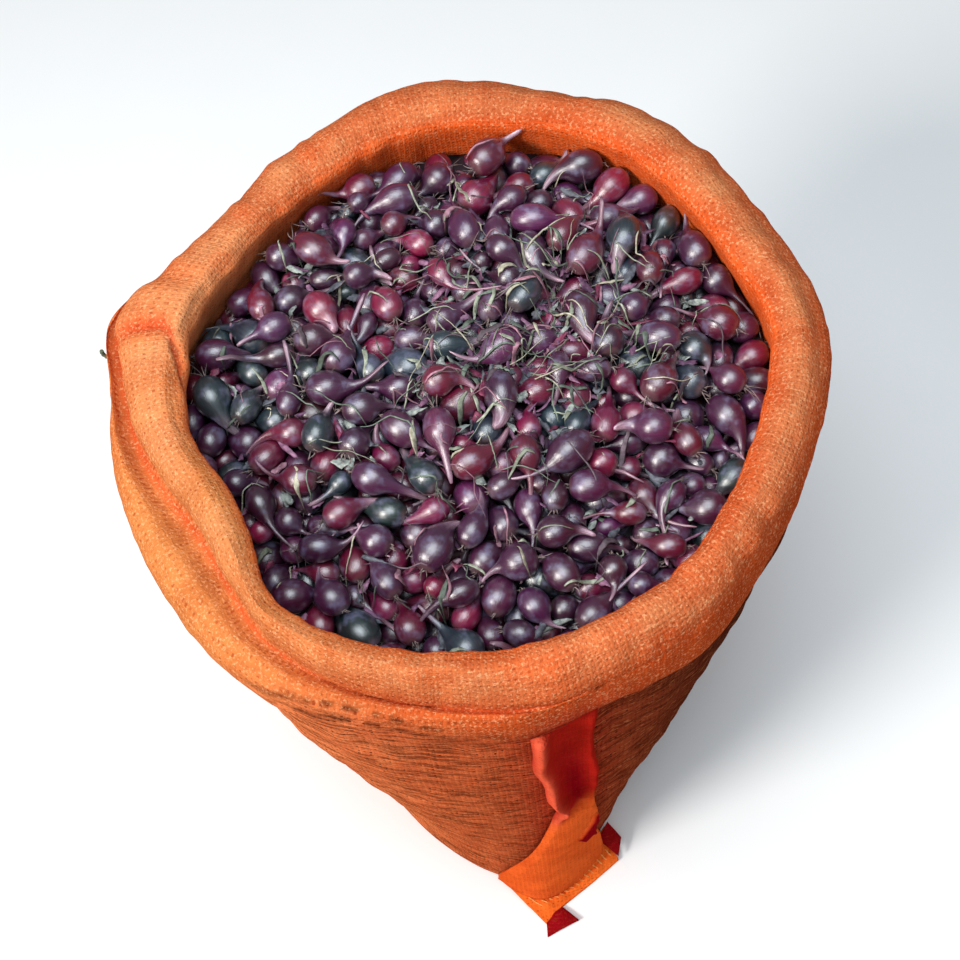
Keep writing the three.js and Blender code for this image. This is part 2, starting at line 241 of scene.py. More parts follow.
class Nodes:
    """Short calls for building one node material."""

    def __init__(self, name, **uniform):
        self.material = bpy.data.materials.new(name)
        self.material.use_nodes = True
        self.tree = self.material.node_tree
        self.shader = self.tree.nodes["Principled BSDF"]
        for key, value in uniform.items():
            self.shader.inputs[key.replace("_", " ")].default_value = value

    def make(self, kind, inputs=(), **settings):
        node = self.tree.nodes.new("ShaderNode" + kind)
        for key, value in settings.items():
            setattr(node, key, value)
        for key, value in dict(inputs).items():
            self.put(node.inputs[key], value)
        return node

    def attribute(self, name):
        return self.make("Attribute", attribute_name=name)

    def put(self, socket, value):
        if isinstance(value, bpy.types.NodeSocket):
            self.tree.links.new(value, socket)
        else:
            socket.default_value = value

    def math(self, operation, a, b=0.0, clamp=False):
        node = self.make("Math", {0: a, 1: b}, operation=operation, use_clamp=clamp)
        return node.outputs[0]

    def times(self, a, b):
        return self.math("MULTIPLY", a, b)

    def plus(self, a, b):
        return self.math("ADD", a, b)

    def less(self, a, b):
        return self.math("SUBTRACT", a, b)

    def mix(self, share, a, b, blend="MIX"):
        node = self.make("Mix", {0: share, 6: a, 7: b}, data_type="RGBA", blend_type=blend)
        return node.outputs[2]

    def step(self, value, low, high):
        node = self.make("MapRange", {0: value, 1: low, 2: high}, interpolation_type="SMOOTHSTEP")
        return node.outputs[0]

    def noise(self, vector, scale, detail=2.0, roughness=0.5):
        inputs = {"Vector": vector, "Scale": scale, "Detail": detail, "Roughness": roughness}
        return self.make("TexNoise", inputs).outputs["Fac"]

    def stretched(self, scale, location=(0, 0, 0)):
        coordinates = self.make("TexCoord").outputs["Object"]
        inputs = {"Vector": coordinates, "Scale": scale, "Location": location}
        return self.make("Mapping", inputs).outputs[0]

    def bump(self, height, strength, distance):
        inputs = {"Height": height, "Strength": strength, "Distance": distance}
        self.put(self.shader.inputs["Normal"], self.make("Bump", inputs).outputs[0])

    def surface(self, color, roughness):
        self.put(self.shader.inputs["Base Color"], color)
        self.put(self.shader.inputs["Roughness"], roughness)
        return self.material


NET_WALES = 340               # chains of stitches round the sack
NET_COURSE = 3.0              # millimetres from one row of tape to the next
NET_HOLE_THIN = srgb(44, 14, 10)
NET_HOLE_THICK = srgb(160, 50, 16)
NET_ROW_SHADOW = srgb(70, 26, 10)
# Pale tape colour, laid on as painted sheen
NET_PAINTED_SHEEN = srgb(250, 188, 136)
NET_DASH_TAPE = srgb(236, 146, 90)
NET_SHADED = (0.72, 0.55, 0.5, 1)


def net_material(name, painted_sheen_share=0.5):
    """Knitted net of flat tape. The tint attribute gives its colour, and its alpha says how
    far it is a single, thin layer with the dark inside showing through."""
    n = Nodes(name, Specular_IOR_Level=0)
    uv = n.make("SeparateXYZ", {0: n.make("UVMap", uv_map="cloth").outputs[0]})
    angle, course = n.times(uv.outputs[0], TURN), uv.outputs[1]
    cosine, sine = n.math("COSINE", angle), n.math("SINE", angle)
    tint = n.attribute("tint")
    color, thin = tint.outputs["Color"], tint.outputs["Alpha"]
    thick = n.less(1.0, thin)

    def cloth_noise(round_scale, row_scale, offset, detail=2.0, roughness=0.6):
        """Noise that runs round the sack without a seam, in units of stitches."""
        vector = n.make("CombineXYZ", {
            0: n.times(cosine, round_scale), 1: n.times(sine, round_scale),
            2: n.plus(n.times(course, row_scale), offset)})
        return n.noise(vector.outputs[0], 1.0, detail, roughness)

    # The knit's holes, fewer where the tape lies close
    wander = n.times(n.less(cloth_noise(28, 0.4, 3.0), 0.5), 5.0)
    chain = n.math("SINE", n.plus(n.times(angle, float(NET_WALES)), wander))
    row = n.math("SINE", n.plus(n.times(course, TURN), wander))
    hole = n.times(n.step(chain, 0.0, 0.7), n.step(row, 0.0, 0.7))
    place = n.stretched((1, 1, 1))
    sparse = n.step(n.noise(place, 330.0, 3.0, 0.6), 0.48, 0.62)
    grain = n.noise(place, 240.0, 3.0, 0.6)
    sheen_strokes = n.step(n.noise(n.stretched((1, 1, 1), (3, 0, 0)), 640.0, 3.0, 0.65), 0.5, 0.68)
    rows = n.step(cloth_noise(7, 1.1, 37.0, 4.0, 0.7), 0.46, 0.6)
    patches = n.step(cloth_noise(7, 0.09, 51.0, 4.0, 0.6), 0.3, 0.7)
    dashes = n.step(cloth_noise(26, 1.5, 67.0, 2.0), 0.56, 0.68)

    # The colour, from broad patches to single stitches
    clean = n.math("ADD", n.times(patches, 0.6), n.times(grain, 0.6), True)
    body = n.mix(clean, n.mix(1.0, color, NET_SHADED, "MULTIPLY"), color)
    body = n.mix(n.times(n.times(rows, thin), 0.7), body, NET_ROW_SHADOW)
    # Painted sheen: pale strokes on the cuff's thick layers
    body = n.mix(n.times(n.times(sheen_strokes, thick), painted_sheen_share), body, NET_PAINTED_SHEEN)
    body = n.mix(n.times(n.times(dashes, thin), 0.6), body, n.mix(0.35, color, NET_DASH_TAPE))
    shown = n.plus(0.1, n.times(sparse, 0.9))
    depth = n.plus(0.6, n.times(thin, 0.35))
    hollow = n.mix(thin, NET_HOLE_THICK, NET_HOLE_THIN)
    body = n.mix(n.times(n.times(hole, shown), depth), body, hollow)

    height = n.plus(n.times(sheen_strokes, 0.3), n.times(n.math("ABSOLUTE", chain), 0.3))
    height = n.less(n.less(height, n.times(hole, 0.9)), n.times(rows, 0.5))
    n.bump(height, 0.55, 0.0009)
    return n.surface(body, n.plus(0.44, n.times(thin, 0.2)))


ONION_SHADED = (0.5, 0.42, 0.5, 1)
ONION_BLOOM = srgb(132, 130, 164)
NECK_DARK, NECK_PALE = srgb(126, 78, 106), srgb(216, 178, 190)
ROOT_BROWN = srgb(120, 92, 88)


def onion_material(name):
    """Dry onion skin: fine veins from root to neck, a paler neck and a satin gloss."""
    n = Nodes(name, Coat_Weight=1.0, Coat_Roughness=0.32, Specular_IOR_Level=0.9)
    place = n.attribute("place")
    spot = n.make("SeparateXYZ", {0: place.outputs["Vector"]})
    tint = n.attribute("tint")
    along = spot.outputs[2]
    spin = n.make("CombineXYZ", {
        0: n.plus(n.times(spot.outputs[0], 3.4), n.times(place.outputs["Alpha"], 97.0)),
        1: n.times(spot.outputs[1], 3.4),
        2: n.times(along, 1.3)}).outputs[0]
    veins = n.noise(spin, 5.2, 4.0, 0.62)
    blotch = n.noise(n.stretched((1, 1, 1)), 120.0, 3.0, 0.6)
    neck = n.step(along, 0.62, 0.98)
    color = tint.outputs["Color"]
    deep = n.mix(1.0, color, ONION_SHADED, "MULTIPLY")
    skin = n.mix(n.step(veins, 0.35, 0.68), deep, color)
    bloom = n.times(n.step(blotch, 0.5, 0.75), 0.4)
    skin = n.mix(bloom, skin, ONION_BLOOM)
    dry = n.mix(n.step(veins, 0.4, 0.6), NECK_DARK, NECK_PALE)
    skin = n.mix(n.times(neck, tint.outputs["Alpha"]), skin, dry)
    root = n.less(1.0, n.step(along, 0.0, 0.05))
    skin = n.mix(n.times(root, 0.35), skin, ROOT_BROWN)
    n.bump(n.plus(veins, n.times(blotch, 0.5)), 0.28, 0.0008)
    rough = n.plus(0.3, n.times(neck, 0.3))
    return n.surface(skin, n.plus(rough, n.times(n.step(blotch, 0.5, 0.8), 0.22)))


def dry_material(name, dark, light, scale=260.0, rough=0.62):
    """Dry roots, straw, papery skin and twine: streaked and matte."""
    n = Nodes(name, Specular_IOR_Level=0.35)
    streak = n.noise(n.stretched((1, 1, 1)), scale, 4.0, 0.65)
    tint = n.attribute("tint")
    base = n.mix(n.step(streak, 0.3, 0.7), srgb(*dark), srgb(*light))
    n.bump(streak, 0.4, 0.0006)
    return n.surface(n.mix(1.0, base, tint.outputs["Color"], "MULTIPLY"),
                     n.plus(rough, n.times(streak, 0.15)))


# ---- The sack ----

SACK_SIDES = 550
BODY_RINGS = 88
CUFF_STEPS = 4                # rings from one station of the cuff's section to the next
GROOVE_RING = 0.519           # share of the cuff's rings at which the groove is deepest
CREST_RING = 0.675
EDGE_RING = 0.21
BASE_RINGS = [                # share of the corner's reach, height
    (0.02, 0), (0.3, 0), (0.6, 0), (BASE_FLAT, 0), (0.945, 1.4), (CORNER_SHARE, CORNER_Z),
    (0.991, 10),
]
INSIDE_HEIGHTS = (310, 240, 170, 105, 50, CORNER_TOP_Z)
FLOOR_RINGS = ((0.972, 8), (0.9, 4), (0.5, 3), (0.02, 3))

# The net's colours over the dark onions: at the front, with painted light on the left side, and with
# painted shade on the right side
NET_FRONT, NET_LEFT_PAINTED_LIGHT, NET_RIGHT_PAINTED_SHADE = tones((196, 86, 46), (240, 142, 88), (40, 28, 24))
# Cuff colours: at the front, with painted light on the left side, and a painted highlight along the
# crest
CUFF_FRONT, CUFF_LEFT_PAINTED_LIGHT, CREST_PAINTED_HIGHLIGHT = tones((198, 78, 32), (204, 126, 68), (216, 142, 92))
# Painted glow of red-orange light on the inner face, paler with painted light at the upper left
INSIDE_PAINTED_GLOW, INSIDE_PAINTED_LIGHT = tones((255, 106, 42), (255, 158, 98))
# Painted shade in the groove and at the seam, and the dark holes of the frayed edge
GROOVE_PAINTED_SHADE, SEAM_PAINTED_SHADE, FRAYED_HOLE = tones((200, 52, 18), (176, 34, 26), (70, 22, 8))


def cuff_rings(angle):
    """The cuff's section from behind its lower edge over the crest to the inner face."""
    crest = crest_reach(angle)
    width = cuff_reach(angle) - crest
    share = np.clip(groove_share(angle), 0, 1)
    tuck = body_reach(angle, TUCK_Z)
    edge = edge_reach(angle)
    place = groove_place(angle)

    def ring(plain, grooved):
        return crest + width * lerp(plain[0], grooved[0], share), lerp(plain[1], grooved[1], share)
    flat = np.zeros_like(angle)
    return [
        (tuck, flat + TUCK_Z), (tuck + 0.6, flat + 393), (edge - 3.5, flat + 397),
        (edge - 3, flat + 390), (edge - 0.5, flat + CUFF_EDGE_Z - 2.5),
        ring((0.86, 393), (0.8, 391.5)), ring((0.97, 401), (0.96, 399)),
        ring((1.01, 412), (1.0, 409)), ring((1.0, 424), (lerp(place, 1, 0.88), 420)),
        ring((0.97, 429.5), (lerp(place, 1, 0.48), 427.5)), ring((0.92, 434), (place, 421.5)),
        ring((0.76, 441), (place - 0.03, 433)), ring((0.42, 447.5), (place * 0.62, 444.5)),
        (crest, flat + HEIGHT), (crest - 0.62 * ROLL_INSIDE, flat + HEIGHT - 3),
        (crest - 0.95 * ROLL_INSIDE, flat + HEIGHT - 9),
        (inner_reach(angle, 428), flat + 428), (inner_reach(angle, 412), flat + 412),
        (inner_reach(angle, 398), flat + 398), (inner_reach(angle, TUCK_Z), flat + TUCK_Z),
    ]


def smooth_rings(rings, steps):
    """A Catmull-Rom curve through rings of (reach, height)."""
    p = np.array([np.stack(r) for r in rings])
    p = np.concatenate([2 * p[:1] - p[1:2], p, 2 * p[-1:] - p[-2:-1]])
    made = []
    for i in range(1, len(p) - 2):
        for t in np.arange(steps) / steps:
            bend = 2 * p[i - 1] - 5 * p[i] + 4 * p[i + 1] - p[i + 2]
            twist = 3 * p[i] - p[i - 1] - 3 * p[i + 1] + p[i + 2]
            made.append(p[i] + 0.5 * t * (p[i + 1] - p[i - 1] + t * (bend + t * twist)))
    made.append(p[-2])
    return np.array(made)


def onion_lumps(u, height, cell, seed):
    """Soft humps where onions press on the net, on a jittered grid that wraps around."""
    columns = round(GIRTH / cell)
    rng = np.random.default_rng(seed)
    jitter = rng.uniform(-0.36, 0.36, (columns, 64, 2))
    size = rng.uniform(0.6, 1.15, (columns, 64))
    x, y = (u % 1) * columns, height / cell + 2
    i, j = np.floor(x).astype(int), np.floor(y).astype(int)
    lift = np.zeros_like(x)
    for di in (-1, 0, 1):
        for dj in (-1, 0, 1):
            a, b = (i + di) % columns, np.clip(j + dj, 0, 63)
            dx = i + di + 0.5 + jitter[a, b, 0] - x
            dy = j + dj + 0.5 + jitter[a, b, 1] - y
            lift = np.maximum(lift, size[a, b] * np.exp(-(dx * dx + dy * dy) / 0.2))
    return lift


def toward(angle, degrees, width):
    """From 0 to 1, how near an angle is to a direction, with a width in radians."""
    return hump(angle, math.radians(degrees), width)


class SackGrid:
    """The sack as rings of points, from the base up over the cuff and down its inside."""

    def __init__(self):
        self.angle = angle = full_turn(SACK_SIDES)
        flat = np.zeros_like(angle)
        corner = body_reach(angle, CORNER_TOP_Z)
        base = [(share * corner, flat + z) for share, z in BASE_RINGS]
        levels = np.linspace(CORNER_TOP_Z, TUCK_Z, BODY_RINGS)[:-1]
        body = [(body_reach(angle, flat + z), flat + z) for z in levels]
        cuff = smooth_rings(cuff_rings(angle), CUFF_STEPS)
        inside = [(inner_reach(angle, flat + z), flat + z) for z in INSIDE_HEIGHTS]
        inside += [(share * corner - WALL, flat + z) for share, z in FLOOR_RINGS]
        rings = np.concatenate([np.array(base + body), cuff, np.array(inside)])
        reach, self.z = rings[:, 0], rings[:, 1]
        self.points = polar(reach, angle, self.z)
        # Arc along the profile, so that the knit keeps its pitch
        steps = np.linalg.norm(np.diff(self.points[:, 0], axis=0), axis=-1)
        self.length = np.concatenate([[0], np.cumsum(steps)])
        self.u = np.broadcast_to(angle / TURN, self.z.shape)

        row = np.arange(len(rings))[:, None] + 0 * angle
        first = len(base) + len(body)
        self.share = np.clip((row - first) / len(cuff), 0, 1)
        self.is_body = (row >= len(base)) & (row < first)
        self.is_cuff = (row >= first) & (row < first + len(cuff))
        self.is_inside = row >= first + len(cuff)
        self.crease = self.corner_crease()

    def corner_crease(self):
        """The crease across the crest at the cuff's left corner."""
        line = np.interp(self.share, (0.3, 0.55, 0.66, 0.74, 0.82), (164, 163, 161, 168, 177))
        self.past = np.angle(np.exp(1j * (self.angle[None] - np.radians(line))))
        on_crest = smoothstep(self.share, 0.5, 0.64) * (1 - smoothstep(self.share, 0.84, 0.95))
        self.pinch = np.where(self.is_cuff, on_crest, 0)
        return self.pinch * hump(self.past, 0, 0.026)

    def wave(self, columns, rows, seed):
        return lattice_noise(self.u, self.share, columns, rows, seed)

    def body_lift(self):
        """Lumps of the onions inside, sags, creases, and gathers under the cuff."""
        v = np.broadcast_to(self.length[:, None], self.z.shape)
        level = self.z / HEIGHT
        lumps = onion_lumps(self.u, v, 21, 5)
        sag = lattice_noise(self.u, level, 11, 5, 6)
        creases = lattice_noise(self.u, level, 15, 46, 8)
        gathers = lattice_noise(self.u, level, 74, 6, 9) * smoothstep(self.z, 230, TUCK_Z)
        lift = 1.5 * lumps - 0.6 + 1.6 * sag + 0.8 * creases + 1.5 * gathers
        return smoothstep(self.z, 8, 40) * lift

    def cuff_lift(self):
        """Swells, pleats and puckers of the roll, and its pinched corner."""
        above_groove = smoothstep(self.share, 0.4, 0.6)
        lift = (1.7 * self.wave(19, 5, 11) + 1.0 * self.wave(96, 5, 12)
                + 1.5 * self.wave(14, 17, 13) + 0.45 * self.wave(210, 22, 14))
        lift = np.sin(np.pi * self.share) ** 0.5 * lift * lerp(0.55, 1, above_groove)
        lift += 1.2 * self.pinch * hump(self.past, -0.09, 0.07) - 3 * self.crease
        return lift - 1.6 * self.is_cuff * (1 - above_groove) * toward(self.angle, 190, 0.5)

    def lifted(self):
        lift = np.where(self.is_cuff, self.cuff_lift(), 0)
        lift = np.where(self.is_body, self.body_lift(), lift)
        return self.points + grid_normals(self.points) * lift[..., None]

    def tints(self):
        """Brown over the dark onions and orange on the cuff, with painted light on the left, painted
        shade on the right, in the groove and at the seam, a painted highlight along the crest and a
        painted red glow inside.
        """
        angle, share, is_cuff = self.angle, self.share, self.is_cuff
        # Painted light towards the left side and painted shade towards the right side, by direction
        # round the sack
        left = toward(angle, 205, 0.75)[:, None]
        right = 0.85 * (toward(angle, 322, 0.72) + toward(angle, -38, 0.72))[:, None]
        upper_left = toward(angle, 152, 0.5)
        body = lerp(lerp(NET_FRONT, NET_LEFT_PAINTED_LIGHT, left), NET_RIGHT_PAINTED_SHADE, right)

        # At the front left the cuff's frayed edge shows higher up, over the bulging net
        edge = EDGE_RING + 0.02 + 0.2 * toward(angle, 245, 0.5)
        on_cuff = np.where(is_cuff, smoothstep(share - edge, -0.07, 0.07), 0.0)
        # On the cuff, painted light towards the left side
        tint = lerp(body, lerp(CUFF_FRONT, CUFF_LEFT_PAINTED_LIGHT, left), on_cuff[..., None])

        def paint(color, amount):
            return lerp(tint, color, np.clip(amount, 0, 1)[..., None])
        # Painted highlight: a pale band along the crest, wider and stronger at the upper left
        ring, width = CREST_RING - 0.03 + 0.06 * upper_left, 0.09 + 0.05 * upper_left
        crest_highlight = (0.6 + 0.3 * upper_left) * is_cuff * hump(share, ring, width)
        tint = paint(CREST_PAINTED_HIGHLIGHT, crest_highlight * (0.75 + 0.5 * self.wave(60, 14, 15)))
        # Painted glow on the inner face and inside, as of light through the net, paler at the upper
        # left
        painted_glow = lerp(INSIDE_PAINTED_GLOW, INSIDE_PAINTED_LIGHT, upper_left[:, None])
        tint = paint(painted_glow, np.where(is_cuff, smoothstep(share, 0.72, 0.8), self.is_inside))
        lines = hump(share - edge, 0.012, 0.009), hump(share - edge, -0.028, 0.009)
        frayed = sum(line * smoothstep(lattice_noise(self.u, 0 * share, 240, 1, seed), -0.4, 0.1)
                     for seed, line in enumerate(lines, 16))
        tint = paint(FRAYED_HOLE, 0.9 * frayed * is_cuff * toward(angle, 248, 0.4))
        # Painted shade: deep red in the groove between the rolls and in the crease at the left
        # corner
        groove = hump(share, GROOVE_RING, 0.009) * np.clip(groove_share(angle), 0, 1) * is_cuff
        tint = paint(GROOVE_PAINTED_SHADE, 0.6 * groove + 0.7 * self.crease)
        # Painted shade: deep red on the cuff's lower part over the seam's fold
        below_groove = 1 - smoothstep(share, 0.26, 0.48)
        tint = paint(SEAM_PAINTED_SHADE, 0.8 * toward(angle, 277, math.radians(8)) * below_groove)
        thin = np.where(is_cuff, lerp(1, 0.12, on_cuff), 0.15)
        tint[..., 3] = np.where(self.is_body, 1, thin)
        return tint


def make_sack(material):
    grid = SackGrid()
    faces = grid_faces(len(grid.points), SACK_SIDES, True)
    i, j = faces // SACK_SIDES, faces % SACK_SIDES
    crosses_seam = (j == 0) & (faces[:, :1] % SACK_SIDES == SACK_SIDES - 1)
    uv = np.stack([
        np.where(crosses_seam, SACK_SIDES, j) / SACK_SIDES, grid.length[i] / NET_COURSE], -1)
    points = grid.lifted().reshape(-1, 3)
    piece = mesh_piece("net_sack", points, faces, material, uv, {"tint": grid.tints()})
    finish_piece(piece, "net", "sack")


# ---- Many closed tubes in one mesh ----

def closed_tubes(points, slab_caps=False):
    """Vertices and triangles of n closed tubes from points (n, rings, sides, 3). An end is
    closed by a fan, or by a strip between the two faces of a slab."""
    n, rings, sides, _ = points.shape
    quads = grid_faces(rings, sides, True)
    last = (rings - 1) * sides
    if slab_caps:
        vertices = points.reshape(-1, 3)
        j = np.arange(sides // 2 - 1)
        near = np.stack([j, sides - 1 - j, sides - 2 - j, j + 1], -1)
        halves = [part[:, corners] for part in (quads, near, near[:, ::-1] + last)
                  for corners in ([0, 1, 2], [0, 2, 3])]
    else:
        vertices = with_poles(points)
        k, pole = np.arange(sides), np.full(sides, rings * sides)
        halves = [quads[:, [0, 1, 2]], quads[:, [0, 2, 3]],
                  np.stack([pole, (k + 1) % sides, k], -1),
                  np.stack([pole + 1, last + k, last + (k + 1) % sides], -1)]
    first = np.arange(n) * (len(vertices) // n)
    faces = np.concatenate(halves)[None] + first[:, None, None]
    return vertices, faces.reshape(-1, 3)


def with_poles(values):
    """Per-vertex values (n, rings, sides, m), carried on to the fan poles of closed_tubes."""
    n, m = values.shape[0], values.shape[-1]
    ends = np.stack([values[:, 0].mean(1), values[:, -1].mean(1)], 1)
    return np.concatenate([values.reshape(n, -1, m), ends], 1).reshape(-1, m)


def unit(vectors):
    return vectors / np.maximum(np.linalg.norm(vectors, axis=-1, keepdims=True), 1e-9)


def tubes_along(paths, radii, sides, flat=1):
    """Points (n, rings, sides, 3) of tubes along paths (n, rings, 3), flattened to a share."""
    forward = unit(np.gradient(paths, axis=1))
    aside = unit(np.cross(forward, np.array([0.31, 0.17, 0.93])))
    other = np.cross(forward, aside)
    turn = full_turn(sides)
    spread = (np.cos(turn)[:, None] * aside[:, :, None]
              + flat * np.sin(turn)[:, None] * other[:, :, None])
    return paths[:, :, None] + radii[:, :, None, None] * spread


def tube_piece(name, points, material, tint, slot, *nodes, slab_caps=False):
    """A piece of closed tubes, with one row of tint for each tube."""
    vertices, faces = closed_tubes(points, slab_caps)
    tint = np.repeat(tint, len(vertices) // len(tint), 0)
    piece = mesh_piece(name, vertices, faces, material, tints={"tint": tint})
    finish_piece(piece, slot, *nodes)


PLAIN_TINT = np.ones((1, 4))


# ---- The onions ----

ONION_COUNT = 740
HEAP_FLOOR = 379              # under the loose onions, at the sack's wall
HEAP_RISE = 9                 # how much higher the heap is in the middle
HEAP_TILT = 0.15              # and towards the back
HEAP_REACH = 150
CORE_FOOT = 5
CORE_TOP = HEAP_FLOOR + 9.0
CORE_GAP = 1.5                # between the core and the sack's inner face
LIE_DOWN = 0.9                # how an onion's slope lessens at each step
LITTER_NEAR_MIDDLE = 0.58     # share of the loose bits
SKIN_KINDS = {                # share of the onions, then colour
    "purple": (0.60, (74, 26, 60)),
    "red": (0.26, (116, 18, 56)),
    "slate": (0.14, (36, 54, 60)),
}


def heap_level(x, y):
    return HEAP_RISE * (1 - (x * x + y * y) / HEAP_REACH ** 2) + HEAP_TILT * y


class Onions:
    """Sizes and places of all loose onions, as arrays with one row each."""

    def __init__(self, rng, count):
        self.count = count
        self.radius = np.clip(rng.normal(7.5, 1.2, count), 5.2, 10.2)
        self.half = self.radius * rng.uniform(1.0, 1.42, count)
        self.neck = 6 + 25 * rng.beta(1.3, 2.2, count)
        spread = np.sqrt(rng.uniform(0, 1, count)) * 0.9 * HEAP_REACH
        angle = rng.uniform(0, TURN, count)
        self.place = polar(spread, angle, rng.uniform(380, 470, count))
        tilt = rng.normal(0, 0.35, count)
        turn = rng.uniform(0, TURN, count)
        self.axis = polar(np.cos(tilt), turn, np.sin(tilt))
        # Balls that stand for each onion as it settles: along its axis, radius, weight
        gap = self.half - self.radius
        self.offset = np.stack([
            -gap, gap, 0.95 * self.half, self.half + 0.6 * self.neck], -1)
        self.ball = np.stack([
            self.radius, self.radius, 0.52 * self.radius, np.full(count, 2.0)], -1)
        self.weight = np.array([1, 1, 0.4, 0.15])

    def balls(self):
        return self.place[:, None] + self.offset[..., None] * self.axis[:, None]

    def settle(self, steps):
        ball = self.ball.ravel()
        weight = self.weight / self.weight.sum()
        middle = (self.offset * weight).sum(1)
        lever = (self.offset - middle[:, None]) * weight
        for step in range(steps):
            balls = self.balls().reshape(-1, 3)
            if step % 6 == 0:
                near = self.near_pairs(balls)
            i, j = near
            apart = balls[i] - balls[j]
            distance = np.maximum(np.linalg.norm(apart, axis=1), 1e-6)
            push = np.maximum(ball[i] + ball[j] - distance, 0) * 0.35
            apart *= (push / distance)[:, None]
            moved = np.stack([
                np.bincount(i, apart[:, k], len(balls)) - np.bincount(j, apart[:, k], len(balls))
                for k in range(3)], -1)
            size = np.linalg.norm(moved, axis=1, keepdims=True)
            moved *= np.minimum(1, 2 / np.maximum(size, 1e-9))
            fall = 0.8 * max(0.0, 1 - step / (steps - 40))
            balls = balls + moved - np.array([0, 0, max(fall, 0.12 if step < steps - 15 else 0)])
            self.hold(balls, ball)
            balls = balls.reshape(-1, 4, 3)
            centre = (balls * weight[:, None]).sum(1)
            axis = unit((balls * lever[..., None]).sum(1))
            axis[:, 2] *= LIE_DOWN
            self.axis = unit(axis)
            self.place = centre - middle[:, None] * self.axis

    def near_pairs(self, balls):
        """Pairs of balls of different onions that may touch in the next steps."""
        groups = balls.reshape(-1, 4, 3)
        middle = groups.mean(1)
        size = (np.linalg.norm(groups - middle[:, None], axis=2) + self.ball).max(1)
        apart = np.linalg.norm(middle[:, None] - middle[None], axis=2)
        first, second = np.nonzero(np.triu(apart < size[:, None] + size[None] + 5, 1))
        i = (4 * first[:, None] + np.repeat(np.arange(4), 4)).ravel()
        j = (4 * second[:, None] + np.tile(np.arange(4), 4)).ravel()
        ball = self.ball.ravel()
        close = np.linalg.norm(balls[i] - balls[j], axis=1) - ball[i] - ball[j] < 5
        return i[close], j[close]

    @staticmethod
    def hold(balls, ball):
        """Keeps the balls above the heap's floor and inside the sack."""
        x, y, z = balls.T
        reach = np.hypot(x, y)
        room = room_at(x, y, z) - ball - 0.5
        shrink = np.minimum(1, room / np.maximum(reach, 1e-6))
        balls[:, 0] *= shrink
        balls[:, 1] *= shrink
        balls[:, 2] = np.maximum(z, HEAP_FLOOR + heap_level(x, y) + ball)


HEIGHT_CELL = 2.5             # millimetres, of the map of the heap's top
HEIGHT_CELLS = 144


def cell_of(x):
    return np.clip(np.round(x / HEIGHT_CELL).astype(int) + HEIGHT_CELLS // 2, 0, HEIGHT_CELLS - 1)


def top_map(onions):
    """Height of the heap's top on a grid, and the onion that each cell shows."""
    height = np.full((HEIGHT_CELLS, HEIGHT_CELLS), float(HEAP_FLOOR))
    shown = np.full((HEIGHT_CELLS, HEIGHT_CELLS), -1)
    balls = onions.balls()
    steps = np.arange(-5, 6) * HEIGHT_CELL
    dx, dy = np.meshgrid(steps, steps, indexing="ij")
    for k in range(onions.count):
        for place, ball in zip(balls[k], onions.ball[k]):
            drop = ball ** 2 - dx ** 2 - dy ** 2
            inside = drop > 0
            i, j = cell_of(place[0] + dx[inside]), cell_of(place[1] + dy[inside])
            z = place[2] + np.sqrt(drop[inside])
            higher = z > height[i, j]
            height[i[higher], j[higher]] = z[higher]
            shown[i[higher], j[higher]] = k
    return height, shown


